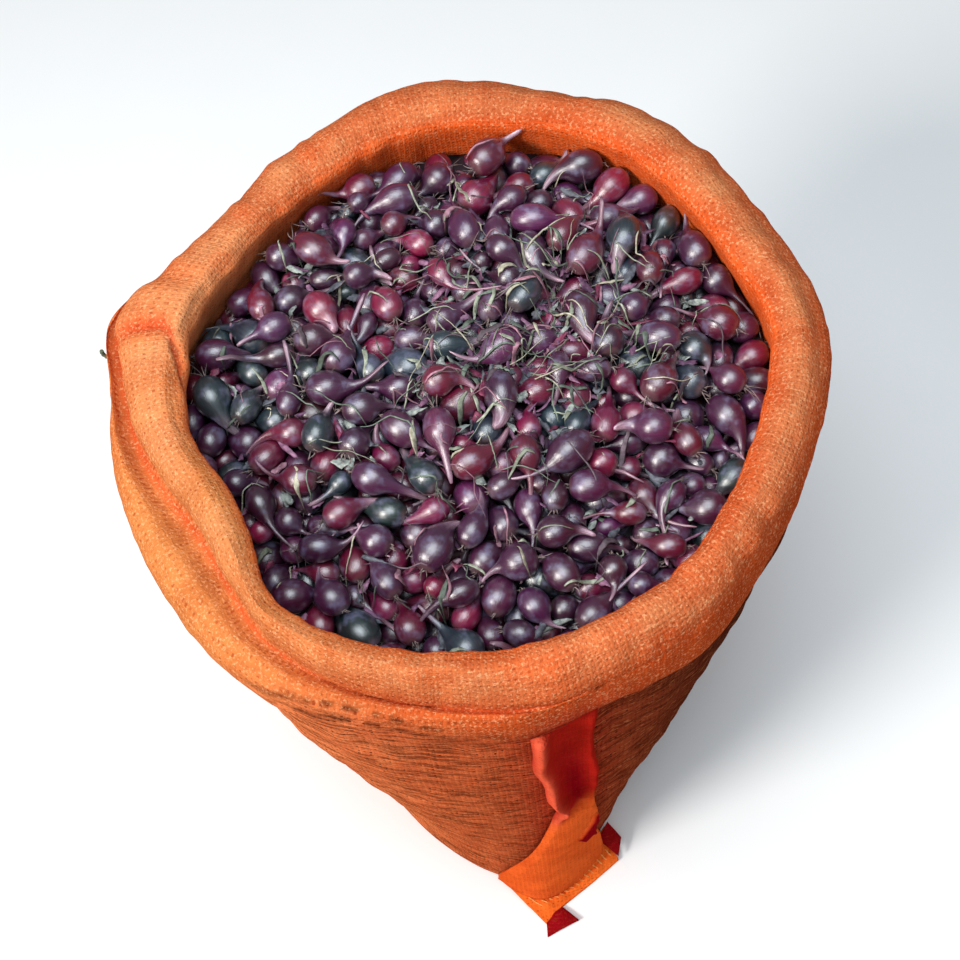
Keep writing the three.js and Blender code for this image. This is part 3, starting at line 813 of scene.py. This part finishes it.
def onion_shells(onions, chosen, rings, sides, rng):
    """Points (n, rings, sides, 3) of the chosen onions, and where each point lies on them."""
    n = len(chosen)
    radius, half = column(onions.radius[chosen]), column(onions.half[chosen])
    neck = column(onions.neck[chosen])
    tip = column(rng.uniform(0.5, 1.4, n))
    shoulder = np.radians(column(rng.uniform(36, 60, n)))
    bulb_rings = round(rings * 0.6)
    swing = np.linspace(0, 1, bulb_rings)[None, :, None]
    phi = lerp(-math.pi / 2, shoulder, swing)
    x_bulb = half * np.sin(phi)
    r_bulb = radius * np.maximum(np.cos(phi), 0.02)
    x_bulb = x_bulb + 0.07 * half * np.exp(-(r_bulb / (0.24 * radius)) ** 2) * (swing < 0.5)
    r_start, x_start = r_bulb[:, -1:], x_bulb[:, -1:]
    fall = (r_start - tip) * half * np.cos(shoulder) / (radius * np.sin(shoulder))
    t = np.linspace(0, 1, rings - bulb_rings + 1)[None, 1:, None]
    x_neck = x_start + t * (half - x_start + neck)
    r_neck = tip + (r_start - tip) * np.exp(-(x_neck - x_start) / fall)
    r_neck = r_neck * np.where(t > 0.99, 0.55, 1)
    x = np.concatenate([x_bulb, x_neck], 1)
    r = np.concatenate([r_bulb, r_neck], 1)
    along = (x - x[:, :1]) / (x[:, -1:] - x[:, :1])
    necked = smoothstep((x - x_start) / np.maximum(x[:, -1:] - x_start, 1e-6), 0.05, 0.8)
    turn = full_turn(sides)[None, None, :]
    phase = column(rng.uniform(0, TURN, n))
    r = r * (1 + 0.035 * np.sin(2 * turn + phase) + 0.022 * np.sin(3 * turn - 2 * phase + 3 * along))
    r = r * (1 + 0.16 * necked * np.sin(5 * turn + phase + 5 * along))
    flat = 1 - 0.3 * necked * column(rng.uniform(0, 1, n))
    across = r * np.cos(turn)
    upright = r * np.sin(turn) * flat
    bend = column(rng.normal(0, 0.42, n)), column(rng.normal(0, 0.42, n))
    curve = np.maximum(x - x_start, 0) ** 2 / (neck + half - x_start)
    across = across + bend[0] * curve
    upright = upright + bend[1] * curve
    axis = onions.axis[chosen]
    side = unit(np.cross(axis, unit(rng.normal(size=(n, 3)))))
    other = np.cross(axis, side)
    points = (onions.place[chosen][:, None, None] + x[..., None] * axis[:, None, None]
              + across[..., None] * side[:, None, None] + upright[..., None] * other[:, None, None])
    # A neck droops over the heap, so it hardly stands up out of it
    ceiling = column(onions.place[chosen][:, 2] + 1.15 * onions.radius[chosen])
    points[..., 2] = np.minimum(points[..., 2], lerp(ceiling, points[..., 2], 0.25))
    x, y, z = np.moveaxis(points, -1, 0)
    room = room_at(x, y, z) - 0.8
    points[..., :2] *= np.minimum(1, room / np.maximum(np.hypot(x, y), 1e-6))[..., None]
    lot = column(rng.uniform(0, 1, n))
    place = np.stack(np.broadcast_arrays(np.cos(turn), np.sin(turn), along, lot), -1)
    return points, place


def tint_of(rng, n, color, dryness):
    """A colour a little different for every onion, with how dry its neck is in alpha."""
    base = np.array(srgb(*color)[:3])
    light = rng.lognormal(0, 0.28, (n, 1))
    shift = rng.normal(1, 0.10, (n, 3))
    return np.concatenate([np.clip(base * light * shift, 0, 1), dryness[:, None]], -1)


def make_onions(onions, height, shown):
    skin = onion_material("onion_skin")
    mean = heap_mean(height)
    rng = np.random.default_rng(41)
    seen = np.isin(np.arange(onions.count), shown)
    shares = [kind[0] for kind in SKIN_KINDS.values()]
    kinds = rng.choice(len(shares), onions.count, p=shares)
    for k, (kind, (_, color)) in enumerate(SKIN_KINDS.items()):
        vertices, faces, tints, places = [], [], [], []
        for rows, columns, group in ((18, 13, seen), (9, 8, ~seen)):
            chosen = np.nonzero((kinds == k) & group)[0]
            points, place = onion_shells(onions, chosen, rows, columns, rng)
            tint = tint_of(rng, len(chosen), color, rng.uniform(0.3, 0.95, len(chosen)))
            # Painted shade: points deep below the heap's smoothed top are darkened, the deeper the
            # darker
            buried = on_heap(mean, points[..., 0], points[..., 1]) - points[..., 2]
            painted_shade = 1 - 0.75 * smoothstep(buried, 2, 13)
            tint = tint[:, None, None] * np.stack([painted_shade, painted_shade, painted_shade, np.ones_like(painted_shade)], -1)
            v, f = closed_tubes(points)
            faces.append(f + sum(map(len, vertices)))
            vertices.append(v)
            tints.append(with_poles(tint))
            places.append(with_poles(place))
        piece = mesh_piece(
            "onions_" + kind, np.concatenate(vertices), np.concatenate(faces), skin,
            tints={"tint": np.concatenate(tints), "place": np.concatenate(places)})
        finish_piece(piece, "onion_skin", "onion_heap")


def make_core():
    """The mass of onions under the ones that show, coloured near black as painted shade."""
    sides = 90
    angle = full_turn(sides)
    rings = []
    for z in (CORE_FOOT, 60, 120, 180, 240, 300, 350, HEAP_FLOOR):
        share = 0.96 if z == CORE_FOOT else 1
        reach = share * inner_reach(angle, max(z, CORNER_TOP_Z)) - CORE_GAP
        rings.append(polar(reach, angle, z))
    rng = np.random.default_rng(7)
    for share in np.linspace(0.97, 0.03, 24):
        ring = polar(share * (inner_reach(angle, HEAP_FLOOR) - CORE_GAP), angle, CORE_TOP)
        ring[:, 2] += heap_level(ring[:, 0], ring[:, 1]) + rng.uniform(-3, 3, sides)
        rings.append(ring)
    dark = dry_material("onion_shadow", (14, 8, 12), (36, 18, 28), 90.0, 0.7)
    tube_piece("onion_core", np.array(rings)[None], dark, PLAIN_TINT, "onion_skin", "onion_heap")


def on_heap(height, x, y):
    return height[cell_of(x), cell_of(y)]


def make_roots(onions, shown):
    """Tufts of dry root hairs."""
    rng = np.random.default_rng(52)
    seen = np.unique(shown[shown >= 0])
    hairs, steps = 6, 5
    n = len(seen)
    axis = onions.axis[seen]
    start = onions.place[seen] - axis * (onions.half[seen] * 0.93)[:, None]
    start = np.repeat(start, hairs, 0) + rng.normal(0, 0.9, (n * hairs, 3))
    way = unit(-np.repeat(axis, hairs, 0) + rng.normal(0, 0.45, (n * hairs, 3)))
    length = rng.uniform(2.5, 8, n * hairs) * np.repeat(rng.uniform(0.4, 1.3, n), hairs)
    t = np.linspace(0, 1, steps)[None, :, None]
    droop = rng.normal(0, 0.3, (n * hairs, 1, 3)) - np.array([0, 0, 0.15])
    paths = start[:, None] + length[:, None, None] * (t * way[:, None] + t * t * droop)
    radii = np.broadcast_to(np.array([0.34, 0.3, 0.25, 0.2, 0.12]), (n * hairs, steps))
    tint = rng.uniform(0.5, 1.15, (n * hairs, 1)) * PLAIN_TINT
    straw = dry_material("dry_root", (92, 74, 76), (160, 140, 134))
    tube_piece("onion_roots", tubes_along(paths, radii, 4), straw, tint, "onion_skin")


def litter_spots(rng, count, reach, height):
    """Places for loose bits, thickest behind the middle of the heap, in its hollows."""
    tries = 7
    spread = reach * np.sqrt(rng.uniform(0, 1, (tries, count)))
    angle = rng.uniform(0, TURN, (tries, count))
    x, y = spread * np.cos(angle), spread * np.sin(angle)
    near = rng.uniform(0, 1, count) < LITTER_NEAR_MIDDLE
    x = np.where(near, 32 + rng.normal(0, 40, (tries, count)), x)
    y = np.where(near, 28 + rng.normal(0, 34, (tries, count)), y)
    shrink = np.minimum(1, reach / np.hypot(x, y))
    x, y = x * shrink, y * shrink
    proud = on_heap(height - heap_mean(height), x, y)
    best = proud.argmin(0), np.arange(count)
    return x[best], y[best]


def heap_mean(height):
    """The height map smoothed over about the size of an onion."""
    mean = height.copy()
    for _ in range(14):
        for axis in (0, 1):
            mean = (np.roll(mean, 1, axis) + 2 * mean + np.roll(mean, -1, axis)) / 4
    return mean


LEAF_COLORS = tones(
    (176, 186, 172), (124, 140, 132), (186, 138, 162), (112, 98, 112), (208, 206, 190))
LEAF_SHARES = (0.26, 0.2, 0.24, 0.14, 0.16)
STRAWS = (190, 10, 52, 0.2, 0.6, 1)   # count, least and most length, then width, flatness
LEAF_STRIPS = (150, 8, 28, 0.7, 1.8, 0.16)


def make_strands(height):
    """Loose straws and strips of dry leaf that lie over the heap."""
    rng = np.random.default_rng(63)
    steps = 16
    pieces, tints = [], []
    for count, low, high, thin, wide, flat in (STRAWS, LEAF_STRIPS):
        x0, y0 = litter_spots(rng, count, 140, height)
        length = low + (high - low) * rng.beta(1.2, 2, count)
        turn = np.cumsum(rng.normal(0, 0.12, (count, steps)), 1)
        kink = (rng.uniform(0, 1, (count, steps)) < 0.08) * rng.normal(0, 1.0, (count, steps))
        way = rng.uniform(0, TURN, count)[:, None] + turn + np.cumsum(kink, 1)
        step = (length / steps)[:, None]
        x = x0[:, None] + np.cumsum(np.cos(way) * step, 1)
        y = y0[:, None] + np.cumsum(np.sin(way) * step, 1)
        reach = np.hypot(x, y)
        room = room_at(x, y, 425.0) - 5
        shrink = np.minimum(1, room / np.maximum(reach, 1e-6))
        x, y = x * shrink, y * shrink
        z = on_heap(height, x, y)
        for _ in range(4):
            z[:, 1:-1] = np.maximum(z[:, 1:-1], (z[:, :-2] + z[:, 2:]) / 2)
        for _ in range(3):
            z[:, 1:-1] = (z[:, :-2] + 2 * z[:, 1:-1] + z[:, 2:]) / 4
        sunk = rng.uniform(-1.5, 2.5, (count, 1))
        z = z + 0.4 + sunk * np.sin(np.linspace(0, math.pi, steps))
        width = rng.uniform(thin, wide, (count, 1)) * np.interp(
            np.arange(steps), (0, 3, 9, 15), (0.6, 1.1, 0.9, 0.3))
        pieces.append(tubes_along(np.stack([x, y, z], -1), width, 6, flat))
        tint = LEAF_COLORS[rng.choice(len(LEAF_COLORS), count, p=LEAF_SHARES)]
        tints.append(tint * rng.uniform(0.55, 1.1, (count, 1)))
    straw = dry_material("straw", (180, 172, 160), (255, 250, 240), 320.0)
    tube_piece("straw_strands", np.concatenate(pieces), straw, np.concatenate(tints), "onion_skin")


FLAKE_COUNT = 420
FLAKE_COLORS = tones(
    (120, 84, 112), (160, 116, 142), (104, 110, 116), (166, 180, 168), (136, 60, 86))
FLAKE_SHARES = (0.27, 0.2, 0.22, 0.18, 0.13)


def make_flakes(height):
    """Papery skins that came off, curled and torn."""
    rng = np.random.default_rng(74)
    count, rows, columns = FLAKE_COUNT, 10, 6
    x, y = litter_spots(rng, count, 142, height)
    z = lerp(on_heap(height, x, y), on_heap(heap_mean(height), x, y), 0.6)
    z = z + rng.uniform(-1, 3, count)
    length = rng.uniform(4, 17, count)
    width = rng.uniform(2, 7, count)
    s = np.linspace(-0.5, 0.5, rows)[None, :, None]
    t = np.linspace(-0.5, 0.5, columns)[None, None, :]
    taper = 1 - 0.8 * np.abs(2 * s + column(rng.uniform(-0.4, 0.4, count))) ** 1.5
    torn = 1 + rng.uniform(-0.3, 0.3, (count, rows, 1))
    curl = column(rng.uniform(0.8, 3.0, count))
    bow = column(rng.normal(0, 2.6, count))
    fold = t * np.maximum(taper, 0.08) * torn * curl
    across = column(width) * np.sin(fold) / curl
    up = -column(width) * (1 - np.cos(fold)) / curl + bow * (s * s - 0.1) * 2
    ragged = s + rng.uniform(-0.05, 0.05, (count, rows, columns))
    local = np.stack(np.broadcast_arrays(column(length) * ragged, across, up), -1)
    turn = rng.uniform(0, TURN, count)
    pitch, bank = rng.normal(0, 0.45, count), rng.normal(0, 0.5, count)
    facing = np.array([
        np.array(Matrix.Rotation(turn[k], 3, "Z") @ Matrix.Rotation(pitch[k], 3, "Y")
                 @ Matrix.Rotation(bank[k], 3, "X")) for k in range(count)])
    middle = np.stack([x, y, z], -1)
    thick = 0.18 * facing[:, :, 2][:, None, None]
    face = np.einsum("nij,nrcj->nrci", facing, local) + middle[:, None, None]
    points = np.concatenate([face + thick, (face - thick)[:, :, ::-1]], 2)
    tint = FLAKE_COLORS[rng.choice(len(FLAKE_COLORS), count, p=FLAKE_SHARES)]
    paper = dry_material("papery_skin", (150, 140, 150), (255, 246, 250), 380.0, 0.45)
    tube_piece("onion_flakes", points, paper, tint, "onion_skin", slab_caps=True)


# ---- The seam's fold, the ears, their stitches and the twine ----

AIR = 0.4
LOOSE = 1.5
EAR_THICKNESS = 4.5
EAR_FOOT_Z = 8
HEM_RIDGE = 1.6
THREAD_RADIUS = 0.48
FOLD_THICKNESS = 2.8
FOLD_CURL = 8
FOLD_FOOT_Z = 15              # where its flared foot lies down on the ear
FOLD_FLARE = 7.5
FOLD_EDGES = np.array([       # height, then degrees of the left and right edges
    (25.5, 258, 287), (45, 260, 286.5), (70, 262.5, 285.5), (98, 266.3, 284.3), (139, 270, 283.5),
    (193, 273.2, 282.8), (233, 275, 282.5), (268, 273, 282.3), (308, 271.2, 282.2),
    (382.5, 271, 282.5),
])
# The fold's colours: crimson and deeper red as painted shade, the net's own orange, and a pink
# painted highlight
FOLD_SHADE_CRIMSON, FOLD_DEEP_SHADE, FOLD_ORANGE, FOLD_EDGE_HIGHLIGHT = tones(
    (184, 34, 24), (146, 8, 22), (240, 102, 42), (232, 96, 66))
# The ear's own orange, and deep red as painted shade for its turned corners
EAR_ORANGE, LINING_PAINTED_SHADE = tones((255, 118, 44), (150, 14, 24))
THICK_CLOTH = 0.1             # how far the cloth is a single, thin layer
EAR_ORANGE[3] = THICK_CLOTH
LINING_PAINTED_SHADE[3] = 2 * THICK_CLOTH
FRONT_EAR = {
    "root": (258, 290), "rise": 20,
    "hem": [(0, -4, -189), (0.2, 8.5, -179.5), (0.6, 32, -166.5), (1, 55, -152.5)],
}
BACK_EAR = {"root": (76, 104), "rise": 4, "hem": [(0, 27, 184), (1, -27, 184)]}
TIP_FOLD = [(-3.5, -187, 1.2), (8.5, -178.5, 1.2), (19.5, -190.5, 2.4), (-4.5, -198.5, 1.2)]
CORNER_FOLD = [(42.5, -141.2, 23), (50.5, -131.5, 30), (59.3, -139.8, 13), (55.2, -151.4, 8)]


def cloth_uv(vertices, faces):
    """Places on the cloth from x and z or y, at the same pitch as the sack's knit."""
    corners = vertices[faces].reshape(-1, 3)
    return np.stack([corners[:, 0] / GIRTH, (corners[:, 1] + corners[:, 2]) / NET_COURSE], -1)


def cloth_piece(name, points, material, tint, slot, *nodes):
    """A piece of slabs of net, from points (n, rings, sides, 3)."""
    v, f = closed_tubes(points, slab_caps=True)
    tint = np.broadcast_to(tint, (len(v), 4))
    piece = mesh_piece(name, v, f, material, cloth_uv(v, f), {"tint": tint})
    finish_piece(piece, slot, *nodes)


def corner_reach(angle, z):
    """The body's reach with its rounded bottom corner."""
    share = lerp(CORNER_SHARE, 1, np.clip((z - CORNER_Z) / (CORNER_TOP_Z - CORNER_Z), 0, 1))
    return share * body_reach(angle, np.maximum(z, CORNER_TOP_Z))


def make_fold(material):
    rows, columns = 150, 46
    t = np.linspace(0, 1, rows)[:, None]
    a = np.linspace(0, 1, columns)[None, :]
    z = lerp(FOLD_EDGES[-1, 0], FOLD_FOOT_Z, t)
    left, right = (np.radians(np.interp(z, FOLD_EDGES[:, 0], FOLD_EDGES[:, k])) for k in (1, 2))
    for _ in range(12):
        left[1:-1] = (left[:-2] + left[2:]) / 2
        right[1:-1] = (right[:-2] + right[2:]) / 2
    sway = 1.6 * np.sin(34 * t) * smoothstep(t, 0.05, 0.2) * (1 - smoothstep(t, 0.4, 0.55))
    wave = 1.3 * np.sin(21 * t + 2)
    angle = lerp(left, right, a) + (sway * (1 - a) + wave * a) / 165
    base = body_reach(angle, z) + LOOSE
    pocket = 1 - smoothstep(t, 0.42, 0.56)
    lip = FOLD_CURL * hump(a, 0.13, 0.11) * (0.7 + 0.3 * np.sin(19 * t + 1))
    trough = -2.2 * hump(a, 0.56, 0.24)
    rim = 2.2 * hump(a, 0.93, 0.07)
    bowed = 1.8 * np.sin(math.pi * a) - 2.0 * (1 - smoothstep(a, 0, 0.12))
    wrinkles = 1.0 * lattice_noise(a * 0.35, t + 0 * a, 8, 34, 31)
    flare = FOLD_FLARE * smoothstep(t, 0.84, 1.03) * lerp(0.15, 1, smoothstep(a, 0, 0.4))
    outer = base + flare + FOLD_THICKNESS + lerp(bowed, lip + trough + rim, pocket) + wrinkles
    # Where the lower right corner is turned over, it is coloured deep red as painted shade
    corner = np.interp(z, (92, 125, 175), (0, 0.34, 0))
    turned = smoothstep(a, 0.98 - corner, 1.02 - corner) * (corner > 0.02)
    outer = np.maximum(outer + 2.4 * turned, base + 0.4)
    points = np.concatenate([polar(outer, angle, z), polar(base, angle, z)[:, ::-1]], 1)
    # Painted shade: crimson on the upper part, which the cuff shades, deeper in its trough and on
    # the turned corner; a painted highlight along the left edge; the lower part in the net's own
    # orange
    in_trough = hump(a, 0.55, 0.26) * smoothstep(t, 0.02, 0.3)
    shade = lerp(FOLD_SHADE_CRIMSON, FOLD_DEEP_SHADE, in_trough[..., None])
    shade = lerp(shade, FOLD_EDGE_HIGHLIGHT, hump(a, 0.08, 0.1)[..., None])
    low_part = smoothstep(t + 0.14 * (a - 0.5), 0.4, 0.52)
    shade = lerp(shade, FOLD_ORANGE, low_part[..., None])
    shade = lerp(shade, FOLD_DEEP_SHADE, turned[..., None])
    shade[..., 3] = THICK_CLOTH
    tint = np.concatenate([shade, shade[:, ::-1]], 1).reshape(-1, 4)
    cloth_piece("net_seam_fold", points[None], material, tint, "net_fold", "seam_fold")


def ear_face(ear, across, along, height, root_height):
    angle = np.radians(lerp(*ear["root"], across))
    reach = corner_reach(angle, root_height) + LOOSE
    stops = np.array(ear["hem"])
    hem_x = np.interp(across, stops[:, 0], stops[:, 1])
    hem_y = np.interp(across, stops[:, 0], stops[:, 2])
    x = lerp(reach * np.cos(angle), hem_x, along)
    y = lerp(reach * np.sin(angle), hem_y, along)
    return np.stack([x, y, height + 0 * x], -1)


def ear_top(ear, across, along):
    puckers = 0.5 * np.sin(40 * across + 3 * along) * hump(along, 0.78, 0.16)
    ridge = HEM_RIDGE * hump(along, 0.8, 0.12) - 1.1 * hump(along, 0.62, 0.045)
    slack = 1.3 * lattice_noise(across * 0.5, along, 9, 5, 33)
    return EAR_THICKNESS + ear["rise"] * (1 - along) ** 2 + ridge + puckers + slack * (1 - along)


def make_ear(name, node, ear, material):
    across = np.linspace(0, 1, 72)[:, None]
    along = np.linspace(0, 1, 48)[None, :]
    root_height = ear_top(ear, across, 0 * along)
    top = ear_face(ear, across, along, ear_top(ear, across, along), root_height)
    low = ear_face(ear, across, along, 0.0, 0 * root_height + EAR_FOOT_Z)
    points = np.concatenate([top, low[:, ::-1]], 1)[None]
    cloth_piece(name, points, material, EAR_ORANGE, "net_hem", node)


def make_folded_corners(material):
    """The ear's tip and right corner, turned over, with their turned faces coloured deep red as
    painted shade.
    """
    points = []
    for corners, lift in ((TIP_FOLD, 3.5), (CORNER_FOLD, 2.5)):
        a, b, c, d = (np.array(corner, float) for corner in corners)
        s = np.linspace(0, 1, 22)[:, None, None]
        t = np.linspace(0, 1, 16)[None, :, None]
        low = lerp(lerp(a, b, s), lerp(d, c, s), t)
        low[..., 2:] += lift * np.sin(math.pi * s * 0.9) * np.sin(math.pi * (0.2 + 0.6 * t))
        top = low + np.array([0, 0, 1.4])
        points.append(np.concatenate([top, low[:, ::-1]], 1))
    cloth_piece("ear_folded_corners", np.array(points), material, LINING_PAINTED_SHADE, "net_hem")


def make_stitches():
    """Pale diagonal stitches along the front ear's hem."""
    count, steps = 15, 7
    middle = np.linspace(0.09, 0.93, count)[:, None]
    s = np.linspace(-1, 1, steps)[None, :]
    across = middle + 0.012 * s
    along = 0.6 + 0.15 * s
    ground = ear_top(FRONT_EAR, across, along)
    paths = ear_face(FRONT_EAR, across, along, 0.0, ear_top(FRONT_EAR, across, 0 * along))
    paths[..., 2] = ground + 0.55 * (1 - s ** 4)
    radii = THREAD_RADIUS * np.broadcast_to((1 - 0.55 * s ** 4), (count, steps))
    thread = dry_material("hem_thread", (226, 134, 60), (246, 176, 96), 500.0)
    tube_piece("ear_stitches", tubes_along(paths, radii, 8), thread, PLAIN_TINT, "net_hem")


TWINE_ANGLE = math.radians(162)
TWINE_Z = 409
TWINE_PATH = np.array([(-5, 1), (-1, 2.5), (1.5, 5), (1, 8.5)])   # out, up


def make_twine():
    reach = cuff_reach(TWINE_ANGLE) + AIR
    t = np.linspace(0, 3, 16)
    out, up = (np.interp(t, range(4), TWINE_PATH[:, k]) for k in (0, 1))
    path = polar(reach + out, TWINE_ANGLE, TWINE_Z + up)
    for _ in range(6):
        path[1:-1] = (path[:-2] + 2 * path[1:-1] + path[2:]) / 4
    radii = 1.15 + 0.2 * np.sin(np.arange(16) * 2.1)
    twist = dry_material("twine", (50, 58, 46), (106, 116, 92), 700.0)
    points = tubes_along(path[None], radii[None], 10)
    tube_piece("twine_strand", points, twist, PLAIN_TINT, "twine", "twine_end")


# ---- Camera, lights and floor ----

CAMERA_ELEVATION = math.radians(61)
CAMERA_ROLL = math.radians(-9)
CAMERA_DISTANCE = 0.7
IMAGE_SIZE = 960
FOCAL_PIXELS = 1400
RIM_PIXEL = (463, 357)        # where the middle of the mouth falls in the image


def make_camera():
    c, s = math.cos(CAMERA_ELEVATION), math.sin(CAMERA_ELEVATION)
    forward = Vector((0, c, -s))
    level = Vector((1, 0, 0))
    upright = level.cross(forward)
    right = level * math.cos(CAMERA_ROLL) + upright * math.sin(CAMERA_ROLL)
    up = upright * math.cos(CAMERA_ROLL) - level * math.sin(CAMERA_ROLL)
    aside = (RIM_PIXEL[0] - IMAGE_SIZE / 2) / FOCAL_PIXELS * CAMERA_DISTANCE
    above = (IMAGE_SIZE / 2 - RIM_PIXEL[1]) / FOCAL_PIXELS * CAMERA_DISTANCE
    place = Vector((0, 0, HEIGHT * MM)) - forward * CAMERA_DISTANCE - right * aside - up * above
    data = bpy.data.cameras.new("camera")
    data.sensor_width = 36
    data.lens = 36 * FOCAL_PIXELS / IMAGE_SIZE
    camera = bpy.data.objects.new("camera", data)
    turn = Matrix((right, up, -forward)).transposed().to_4x4()
    camera.matrix_world = Matrix.Translation(place) @ turn
    bpy.context.scene.collection.objects.link(camera)
    bpy.context.scene.camera = camera


def make_light(name, place, target, size, power, color):
    data = bpy.data.lights.new(name, "AREA")
    data.shape = "DISK"
    data.size = size
    data.energy = power
    data.color = color
    light = bpy.data.objects.new(name, data)
    light.location = place
    aim = Vector(target) - Vector(place)
    light.rotation_euler = aim.to_track_quat("-Z", "Y").to_euler()
    bpy.context.scene.collection.objects.link(light)


FLOOR_REACH = 4000


def make_studio():
    make_light("key", (-1.3, -0.85, 1.6), (0, 0, 0.3), 0.6, 37, (1.0, 0.97, 0.93))
    make_light("top", (-0.1, -0.3, 2.35), (0, 0, 0.4), 1.6, 46, (0.85, 0.94, 1.0))
    world = bpy.data.worlds.new("studio")
    world.use_nodes = True
    world.node_tree.nodes["Background"].inputs["Color"].default_value = (0.93, 0.95, 1, 1)
    world.node_tree.nodes["Background"].inputs["Strength"].default_value = 0.2
    bpy.context.scene.world = world
    bpy.context.scene.view_settings.view_transform = "Standard"
    n = Nodes("floor_paper", Specular_IOR_Level=0.2)
    grain = n.noise(n.stretched((1, 1, 1)), 6.0, 3.0)
    paper = n.surface(n.mix(grain, (0.86, 0.86, 0.855, 1), (0.9, 0.9, 0.895, 1)), 0.9)
    corners = [(x * FLOOR_REACH, y * FLOOR_REACH, -0.2)
               for x, y in ((-1, -1), (1, -1), (1, 1), (-1, 1))]
    floor = mesh_piece("floor", corners, [(0, 1, 2, 3)], paper)


make_camera()
make_studio()
make_sack(net_material("knitted_net"))
seam_net = net_material("seam_net", painted_sheen_share=0)
make_fold(seam_net)
make_ear("net_front_ear", "front_ear", FRONT_EAR, seam_net)
make_ear("net_back_ear", "back_ear", BACK_EAR, seam_net)
make_folded_corners(seam_net)
make_stitches()
make_twine()

onions = Onions(np.random.default_rng(20), ONION_COUNT)
onions.settle(420)
height, shown = top_map(onions)
make_onions(onions, height, shown)
make_core()
make_roots(onions, shown)
make_strands(height)
make_flakes(height)
